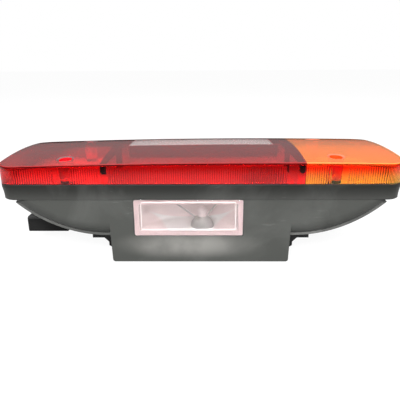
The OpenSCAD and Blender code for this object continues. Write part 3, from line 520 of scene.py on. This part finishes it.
def wellPatches(us, vs, x0, y0):
    # plate round a screw well, then its dished lip, drafted wall, floor, hole and the outside of its tube;
    # the lip's depth grows with the power 1.5 of the way from its rim to the mouth
    u, v = loopAround(us, vs)
    away = np.stack([u - x0, v - y0], -1)
    away /= np.linalg.norm(away, axis=1, keepdims=True)

    def circle(radius, z):
        spot = np.array([x0, y0]) + radius * away
        return np.column_stack([spot, z if np.ndim(z) else np.full(len(spot), z)])

    def spread(radius, inset, drop, steps):
        rings = []
        px, py = planPoint(u, v, inset)
        for t in np.linspace(0, 1, steps + 1):
            x = (1 - t) * px + t * (x0 + radius * away[:, 0])
            y = (1 - t) * py + t * (y0 + radius * away[:, 1])
            rings.append(np.column_stack([x, y, crownHeight(x, y, drop)]))
        return rings

    ledge, bore, tube = lens["wellLip"], lens["wellRadius"], lens["wellRadius"] + lens["wellWall"]
    mouth = bore + lens["wellDraft"]
    outside = spread(mouth + ledge, plateOut, 0.0, 3)
    bend = [circle(mouth + ledge * (1 - t), outside[-1][:, 2] - lens["lipDip"] * t ** lens["lipCurve"])
            for t in np.linspace(0, 1, 6)[1:]]
    floor = lensBottom + lens["wellFloor"]
    inside = [circle(bore, floor), circle(lens["screwHole"], floor), circle(lens["screwHole"], lensBottom),
              circle(tube, lensBottom)]
    under = spread(tube + lens["wellDraft"], plateIn, lens["wall"], 3)
    return [ringPatch(outside, plateFinish), ringPatch([outside[-1]] + bend, lipFinish),
            ringPatch([bend[-1]] + inside + [under[-1]], wellFinish), ringPatch(under, plateFinish)]


def lensPiece(name, side, materials):
    # side -1 is the red lens with the window's opening, side 1 the amber one
    joint, r, patch, half = (lens[k] for k in ("jointX", "cornerRadius", "wellPatch", "paneHalf"))
    near, far, wx, wy = lens["paneNear"], lens["paneFar"], side * lens["wellX"], lens["wellY"]
    stops = [side * halfLength, side * (halfLength - r), wx - patch, wx + patch, joint]
    if side < 0:
        stops += [-half, half]
    us = latticeLines(stops, lens["flutePitch"])
    vs = latticeLines([-halfWidth, r - halfWidth, -wy - patch, patch - wy, near, wy - patch, far, wy + patch,
                       halfWidth - r, halfWidth], lens["flutePitch"])
    uMid, vMid = np.meshgrid((us[1:] + us[:-1]) / 2, (vs[1:] + vs[:-1]) / 2, indexing="ij")
    keep = (np.abs(uMid - wx) > patch) | (np.abs(np.abs(vMid) - wy) > patch)
    if side < 0:
        keep &= (np.abs(uMid) > half) | (vMid < near) | (vMid > far)
    e, w, n, innerRound = lens["edgeRound"], lens["wall"], lens["fluteSteps"], lens["innerRound"]
    patches = [plateSheet(us, vs, plateOut, 0.0, keep), plateSheet(us, vs, plateIn, w, keep)]

    # the outline from the joint round the end and back to the joint
    run = us[::-1] if side < 0 else us
    u = np.concatenate([run, np.full(len(vs) - 2, run[-1]), run[::-1]])
    v = np.concatenate([np.full(len(run), vs[0]), vs[1:-1], np.full(len(run), vs[-1])])
    steps = np.arange((len(u) - 1) * n + 1) / n
    uDense, vDense = np.interp(steps, np.arange(len(u)), u), np.interp(steps, np.arange(len(v)), v)

    def ring(uu, vv, inset, height):
        x, y = planPoint(uu, vv, inset)
        return np.column_stack([x, y, np.broadcast_to(height, x.shape)])

    def rimHeight(uu, vv, inset, drop):
        x, y = planPoint(uu, vv, inset)
        return crownHeight(x, y, drop)

    def plateRim(uu, vv, inset, drop):
        return ring(uu, vv, inset, rimHeight(uu, vv, inset, drop))

    outerTop = rimHeight(u, v, e, 0.0)
    outer = [ring(u, v, e * (1 - math.sin(a)), outerTop - e * (1 - math.cos(a))) for a in quarterTurn]
    outer += [ring(u, v, 0.0, lensBottom + (outerTop - e - lensBottom) * t) for t in np.linspace(1, 0, 7)[1:]]
    innerTop = rimHeight(uDense, vDense, w + innerRound, w)
    phase = steps % 1.0
    smooth = (np.abs(np.abs(uDense) - lens["wellX"]) < lens["smoothHalf"]) \
        | (np.abs(uDense - lens["tongueX"]) < lens["tongueHalf"]) \
        | ((uDense > joint - lens["smoothJoint"]) & (uDense < joint))
    depth = np.where(smooth, 0.0, lens["fluteDepth"] * np.sqrt(1 - (2 * phase - 1) ** 2))
    inner = [ring(uDense, vDense, w + innerRound * (1 - math.sin(a)),
                  innerTop - innerRound * (1 - math.cos(a))) for a in quarterTurn]
    # share of the flutes' depth at shares of the skirt's height
    fluteFoot = lens["fluteBottom"] / lens["skirt"]
    heights = ((0.93, 0.0), (0.87, 1.0), (0.6, 1.0), (0.35, 1.0), (fluteFoot, 1.0), (0.0, 0.0))
    inner += [ring(uDense, vDense, w + depth * f, lensBottom + (innerTop - innerRound - lensBottom) * t)
              for t, f in heights]
    patches += [ringPatch([plateRim(u, v, plateOut, 0.0), outer[0]], plateFinish),
                ringPatch(outer[:len(quarterTurn)], edgeFinish), ringPatch(outer[len(quarterTurn) - 1:]),
                ringPatch(inner), fanPatch(outer[-1], inner[-1], n),
                fanPatch(plateRim(u, v, plateIn, w), inner[0], n)]

    # flat face at the joint: outer section and inner section side by side
    across = np.full(len(vs), joint)
    patches.append(ringPatch([
        np.concatenate([[line[0] for line in rings[::-1]], plateRim(across, vs, inset, drop),
                        [line[-1] for line in rings]])
        for rings, inset, drop in ((outer, plateOut, 0.0), (inner, plateIn, w))], plateFinish))
    for sign in (-1, 1):
        cellsU = us[np.abs(us - wx) <= patch + tiny]
        cellsV = vs[np.abs(vs - sign * wy) <= patch + tiny]
        patches += wellPatches(cellsU, cellsV, wx, sign * wy)
    if side < 0:
        pu, pv = loopAround(us[np.abs(us) <= half + tiny], vs[(vs >= near - tiny) & (vs <= far + tiny)])
        rims = [plateRim(pu, pv, plateOut, 0.0), plateRim(pu, pv, plateIn, w)]
        patches.append(ringPatch(rims, plateFinish))
    return buildMesh(name, patches, materials)


def reversingPane(name, material):
    # a slab of the crown, a hair smaller than its opening, with small chamfers round its top
    half, near, far, gap, w = (lens[k] for k in ("paneHalf", "paneNear", "paneFar", "paneGap", "wall"))
    us = latticeLines([gap - half, half - gap], lens["panePitch"])
    vs = latticeLines([near + gap, far - gap], lens["panePitch"])
    u, v = np.meshgrid(us, vs, indexing="ij")
    pu, pv = loopAround(us, vs)
    centre, chamfer = (near + far) / 2, lens["paneChamfer"]

    def drawnIn(uu, vv, d):
        return uu - np.sign(uu) * d * (np.abs(uu) > half - gap - tiny), \
            vv - np.sign(vv - centre) * d * (np.abs(vv - centre) > (far - near) / 2 - gap - tiny)

    x, y = planPoint(*drawnIn(u, v, chamfer), plateOut)
    top = sheetPatch(np.stack([x, y, crownHeight(x, y)], -1))
    x, y = planPoint(u, v, plateOut)
    bottom = sheetPatch(np.stack([x, y, crownHeight(x, y, w)], -1))
    cx, cy = planPoint(*drawnIn(pu, pv, chamfer), plateOut)
    px, py = planPoint(pu, pv, plateOut)
    side = ringPatch([np.column_stack([cx, cy, crownHeight(cx, cy)]),
                      np.column_stack([px, py, crownHeight(px, py) - chamfer]),
                      np.column_stack([px, py, crownHeight(px, py, w)])], 1)
    return buildMesh(name, [top, bottom, side], [material, paneSeam])


place(lensPiece("redLens", -1, redFinishes), "red_lens", "lens_red")
place(lensPiece("amberLens", 1, amberFinishes), "amber_lens", "lens_amber")
place(reversingPane("reversingPane", paneFrost), "clear_lens", "lens_clear")
print("lens made")


# Number-plate window: pane with a raised bead, and the liner behind it
plateLamp = {"seatGap": 0.15, "edgeRound": 0.35, "corner": 2.0, "sharpAngle": 50,
             "beadSide": 7.4, "beadLow": 6.9, "beadTop": 2.6, "beadWide": 0.8, "beadHigh": 0.8,
             "beadCorner": 1.6, "linerEdge": 4.9, "linerDeep": 42.0, "linerWall": 1.6, "flange": 1.0,
             "bulge": 10.0}


def rectLoop(x0, x1, z0, z1, radius, y, steps=5):
    # rounded rectangle in the window's plane: a quarter arc at each corner, closed
    turn = np.linspace(0, math.pi / 2, steps + 1)
    centres = ((x1 - radius, z1 - radius), (x0 + radius, z1 - radius), (x0 + radius, z0 + radius),
               (x1 - radius, z0 + radius))
    arcs = []
    for k, (cx, cz) in enumerate(centres):
        angle = turn + k * math.pi / 2
        x, z = cx + radius * np.cos(angle), cz + radius * np.sin(angle)
        arcs.append(np.stack([x, np.full(steps + 1, y), z], -1))
    return np.concatenate(arcs + [arcs[0][:1]])


def plateWindowPiece():
    # slab with a rounded front edge; the bead is half an ellipse across, carried round a rounded rectangle
    low, high = boxOf("plate_window")
    back, front = high[1] - plateLamp["seatGap"], low[1] + plateLamp["beadHigh"]
    x0, x1, z0, z1 = low[0], high[0], low[2], high[2]

    def slabLoop(inset, y):
        return rectLoop(x0 + inset, x1 - inset, z0 + inset, z1 - inset, plateLamp["corner"] - inset * 0.5, y)

    def beadLoop(shift, y):
        side, foot, top = (plateLamp[k] + shift for k in ("beadSide", "beadLow", "beadTop"))
        return rectLoop(x0 + side, x1 - side, z0 + foot, z1 - top, plateLamp["beadCorner"] - shift, y)

    r = plateLamp["edgeRound"]
    edge = [slabLoop(r * (1 - math.cos(t)), front + r * (1 - math.sin(t))) for t in quarterTurn]
    sweep = np.linspace(math.pi, 0, 9)
    half = plateLamp["beadWide"] / 2
    bead = [beadLoop(half * math.cos(t), front - plateLamp["beadHigh"] * math.sin(t)) for t in sweep]
    rear = slabLoop(0, back)
    patches = [capPatch(rear), ringPatch([rear] + edge + [bead[0]]), ringPatch(bead, 1), capPatch(bead[-1])]
    return buildMesh("plateWindow", patches, [mats["clear_lens"], beadHighlight], plateLamp["sharpAngle"])


linerLow, linerHigh = boxOf("plate_reflector")
linerMiddle = (linerLow + linerHigh) / 2
flangeHalf = (linerHigh - linerLow) / 2


def scoop(a, b, deep, y0, steps=40):
    # hollow of the liner: depth = deep * sqrt(1 - (x/a)^2) * (1 - |z/b|^n)^(1/n), on sine-spaced lines
    s = np.sin(np.linspace(-math.pi / 2, math.pi / 2, steps + 1))
    u, v = np.meshgrid(s, s, indexing="ij")
    n = plateLamp["bulge"]
    depth = deep * np.sqrt(np.clip(1 - u * u, 0, 1)) * np.clip(1 - np.abs(v) ** n, 0, 1) ** (1 / n)
    return np.stack([linerMiddle[0] + a * u, y0 + depth, linerMiddle[2] + b * v], -1)


def gridBorder(grid):
    # outline of a grid of points, once round and closed
    return np.concatenate([grid[:-1, 0], grid[-1, :-1], grid[:0:-1, -1], grid[0, ::-1]])


def flangeLoop(border, a, b, y):
    # the liner's outline spread to the flange's rounded outline
    hw, hh, r = flangeHalf[0], flangeHalf[2], plateLamp["corner"]
    x, z = (border[:, 0] - linerMiddle[0]) * hw / a, (border[:, 2] - linerMiddle[2]) * hh / b
    dx, dz = np.abs(x) - (hw - r), np.abs(z) - (hh - r)
    inCorner = (dx > 0) & (dz > 0)
    reach = np.where(inCorner, np.hypot(dx, dz), 1)
    x = np.where(inCorner, np.sign(x) * (hw - r + r * dx / reach), x)
    z = np.where(inCorner, np.sign(z) * (hh - r + r * dz / reach), z)
    return np.stack([linerMiddle[0] + x, np.full(len(x), y), linerMiddle[2] + z], -1)


def plateLinerPiece():
    wall, flange, y0 = plateLamp["linerWall"], plateLamp["flange"], linerLow[1]
    a, b = flangeHalf[0] - plateLamp["linerEdge"], flangeHalf[2] - plateLamp["linerEdge"]
    inside = scoop(a, b, plateLamp["linerDeep"], y0)
    outside = scoop(a + wall, b + wall, plateLamp["linerDeep"] + wall - flange, y0 + flange)
    inBorder, outBorder = gridBorder(inside), gridBorder(outside)
    loops = [inBorder, flangeLoop(inBorder, a, b, y0), flangeLoop(inBorder, a, b, y0 + flange), outBorder]
    return buildMesh("plateLiner", [sheetPatch(inside), ringPatch(loops, 1), sheetPatch(outside)],
                     [liner, flangeRose], plateLamp["sharpAngle"])


place(plateWindowPiece(), "clear_lens", "plate_window")
place(plateLinerPiece(), "white_reflector", "plate_reflector")
print("number-plate window made")


# Trim: white guards beside the dividers, and the lips under the wings
guard = {"dividers": (-94.2, 99.2), "lowTops": (91.2, 97.6), "dividerHalf": 2.4, "gap": 0.3, "wall": 1.0,
         "front": 62.3, "back": 18.0, "foot": 80.0, "top": 99.5, "endGap": 0.01}
lip = {"wingX": 95.0, "wingZ": 27.0, "wingRadius": 134.0, "y": 59.9, "wide": 0.9, "drop": 0.9, "root": 2.9,
       "start": 91.4, "end": 186.0}


def boxPatch(x0, x1, y0, y1, z0, z1):
    base = ((x0, y0), (x1, y0), (x1, y1), (x0, y1))
    corners = np.array([(x, y, z) for z in (z0, z1) for x, y in base], float)
    faces = [(0, 3, 2, 1), (4, 5, 6, 7), (0, 1, 5, 4), (1, 2, 6, 5), (2, 3, 7, 6), (3, 0, 4, 7)]
    return corners, np.array(faces), 0


def guardPiece():
    # each end of a divider stands between two tall side plates and a low front plate
    patches = []
    near = guard["dividerHalf"] + guard["gap"]
    far, slim = near + guard["wall"], near - guard["endGap"]
    for x, lowTop in zip(guard["dividers"], guard["lowTops"]):
        for s in (-1, 1):
            ends = sorted((s * guard["back"], s * guard["front"]))
            front = sorted((s * guard["front"], s * (guard["front"] - guard["wall"])))
            for p, q in ((x - far, x - near), (x + near, x + far)):
                patches.append(boxPatch(p, q, *ends, guard["foot"], guard["top"]))
            patches.append(boxPatch(x - slim, x + slim, *front, guard["foot"], lowTop))
    return buildMesh("dividerGuards", patches, [mats["white_reflector"]])


def lipPiece():
    # rounded strip carried along the wing's arc: (X + R sin t, Z + R - R cos t), on each wing and side
    radius, half = lip["wingRadius"], lip["wide"] / 2
    t = np.linspace(0, math.asin((lip["end"] - lip["wingX"]) / radius), 60)
    arc = np.stack([radius * np.sin(t), radius - radius * np.cos(t), t], -1)
    path = np.concatenate([[[lip["start"] - lip["wingX"], 0.0, 0.0]], arc])
    turn = np.linspace(0, math.pi, 7)
    across = np.concatenate([[half], half * np.cos(turn), [-half]])
    out = np.concatenate([[-lip["root"]], lip["drop"] - half + half * np.sin(turn), [-lip["root"]]])
    x = lip["wingX"] + path[:, :1] + out * np.sin(path[:, 2:])
    z = lip["wingZ"] + path[:, 1:2] - out * np.cos(path[:, 2:])
    y = np.broadcast_to(lip["y"] + across, x.shape)
    patches = []
    for sx in (-1, 1):
        for sy in (-1, 1):
            rows = np.stack([sx * x, sy * y, z], -1)
            rows = np.concatenate([rows, rows[:, :1]], 1)
            patches += [sheetPatch(rows), capPatch(rows[0]), capPatch(rows[-1])]
    return buildMesh("wingLips", patches, [lipPlastic])


place(guardPiece(), "white_reflector")
place(lipPiece(), "housing_plastic")
print("trim made")

# Floor and light: the camera sees a pale floor; to the lamp it is a white card on a dark table
studio = {"floorHalf": 12.0, "shadow": 0.06, "cardSqueeze": (0.4, 1.0, 1.0), "cardReach": (0.37, 0.50),
          "cardWhite": 0.24, "tableDark": 0.02, "horizon": 0.20, "zenith": 0.85, "frontDark": 0.60}
softBoxes = {"overheadBox": {"spot": (0.0, 0.1, 1.25), "aim": (0, 0, 0), "size": (2.4, 2.0), "power": 52},
             "frontBox": {"spot": (0.0, -1.25, 0.86), "aim": (0, 0, 0.05), "size": (1.2, 0.22), "power": 52},
             "backBox": {"spot": (-0.3, 0.95, 1.5), "aim": (0, 0, 0.05), "size": (2.2, 1.0), "power": 10}}


def floorMaterial():
    material, tree, shader = newMaterial("floorPaper")
    setSockets(tree, shader, {"Base Color": (0.95, 0.95, 0.95), "Roughness": 0.9})
    glow = node(tree, "Emission", {"Color": (1, 1, 1)}).outputs["Emission"]
    seen = node(tree, "MixShader", {0: studio["shadow"], 1: glow, 2: shader.outputs["BSDF"]})
    squeezed = node(tree, "Mapping", {"Vector": objectPlace(tree), "Scale": studio["cardSqueeze"]})
    away = node(tree, "VectorMath", {0: squeezed.outputs["Vector"]}, operation="LENGTH").outputs["Value"]
    card = ramp(tree, away, *studio["cardReach"], studio["cardWhite"], studio["tableDark"], smooth=True)
    table = node(tree, "BsdfDiffuse", {"Color": card}).outputs["BSDF"]
    direct = node(tree, "LightPath").outputs["Is Camera Ray"]
    mix = node(tree, "MixShader", {0: direct, 1: table, 2: seen.outputs["Shader"]})
    feed(tree, tree.nodes["Material Output"].inputs["Surface"], mix.outputs["Shader"])
    return material


def makeRoom():
    # a sky that brightens upwards and is darker in front; the camera sees plain white
    world = bpy.data.worlds.new("studio")
    bpy.context.scene.world = world
    world.use_nodes = True
    sky = world.node_tree
    sky.nodes.clear()
    direction = separate(sky, node(sky, "TexCoord").outputs["Generated"])
    height = ramp(sky, direction["Z"], 0.0, 0.8, studio["horizon"], studio["zenith"])
    front = ramp(sky, direction["Y"], -1.0, 0.2, studio["frontDark"], 1.0)
    room = node(sky, "Background", {"Color": combine(sky, "MULTIPLY", height, front)})
    backdrop = node(sky, "Background", {"Color": (1, 1, 1)})
    choice = node(sky, "MixShader", {0: node(sky, "LightPath").outputs["Is Camera Ray"],
                                     1: room.outputs["Background"], 2: backdrop.outputs["Background"]})
    node(sky, "OutputWorld", {"Surface": choice.outputs["Shader"]})


def softBox(name, spot, aim, size, power):
    light = bpy.data.lights.new(name, "AREA")
    light.shape, light.size, light.size_y, light.energy = "RECTANGLE", size[0], size[1], power
    box = bpy.data.objects.new(name, light)
    box.location = spot
    box.rotation_mode = "QUATERNION"
    box.rotation_quaternion = (Vector(aim) - Vector(spot)).to_track_quat("-Z", "Y")
    bpy.context.scene.collection.objects.link(box)


far = studio["floorHalf"]
floorMesh = bpy.data.meshes.new("floor")
floorMesh.from_pydata([(-far, -far, 0), (far, -far, 0), (far, far, 0), (-far, far, 0)], [], [(0, 1, 2, 3)])
floorMesh.materials.append(floorMaterial())
floor = bpy.data.objects.new("floor", floorMesh)
bpy.context.scene.collection.objects.link(floor)
makeRoom()
for name, box in softBoxes.items():
    softBox(name, **box)
bpy.context.scene.view_settings.view_transform = "Standard"
print("floor and lights made")

# Camera as the photograph was taken, worked out from measured points of the lamp
view = {"focalPixels": 431.45, "imageWidth": 400, "sensor": 36.0,
        "place": (6.275, -472.70, 194.96), "pitchDown": 17.605, "yaw": -0.88, "roll": -0.351}
cameraData = bpy.data.cameras.new("photoCamera")
cameraData.sensor_width = view["sensor"]
cameraData.lens = view["focalPixels"] / view["imageWidth"] * view["sensor"]
camera = bpy.data.objects.new("photoCamera", cameraData)
camera.location = Vector(view["place"]) * mm
camera.rotation_mode = "QUATERNION"
yaw, pitch, roll = (math.radians(view[k]) for k in ("yaw", "pitchDown", "roll"))
aimed = Matrix.Rotation(-yaw, 4, "Z") @ Matrix.Rotation(math.pi / 2 - pitch, 4, "X")
camera.rotation_quaternion = (aimed @ Matrix.Rotation(roll, 4, "Z")).to_quaternion()
bpy.context.scene.collection.objects.link(camera)
bpy.context.scene.camera = camera
print("camera set")
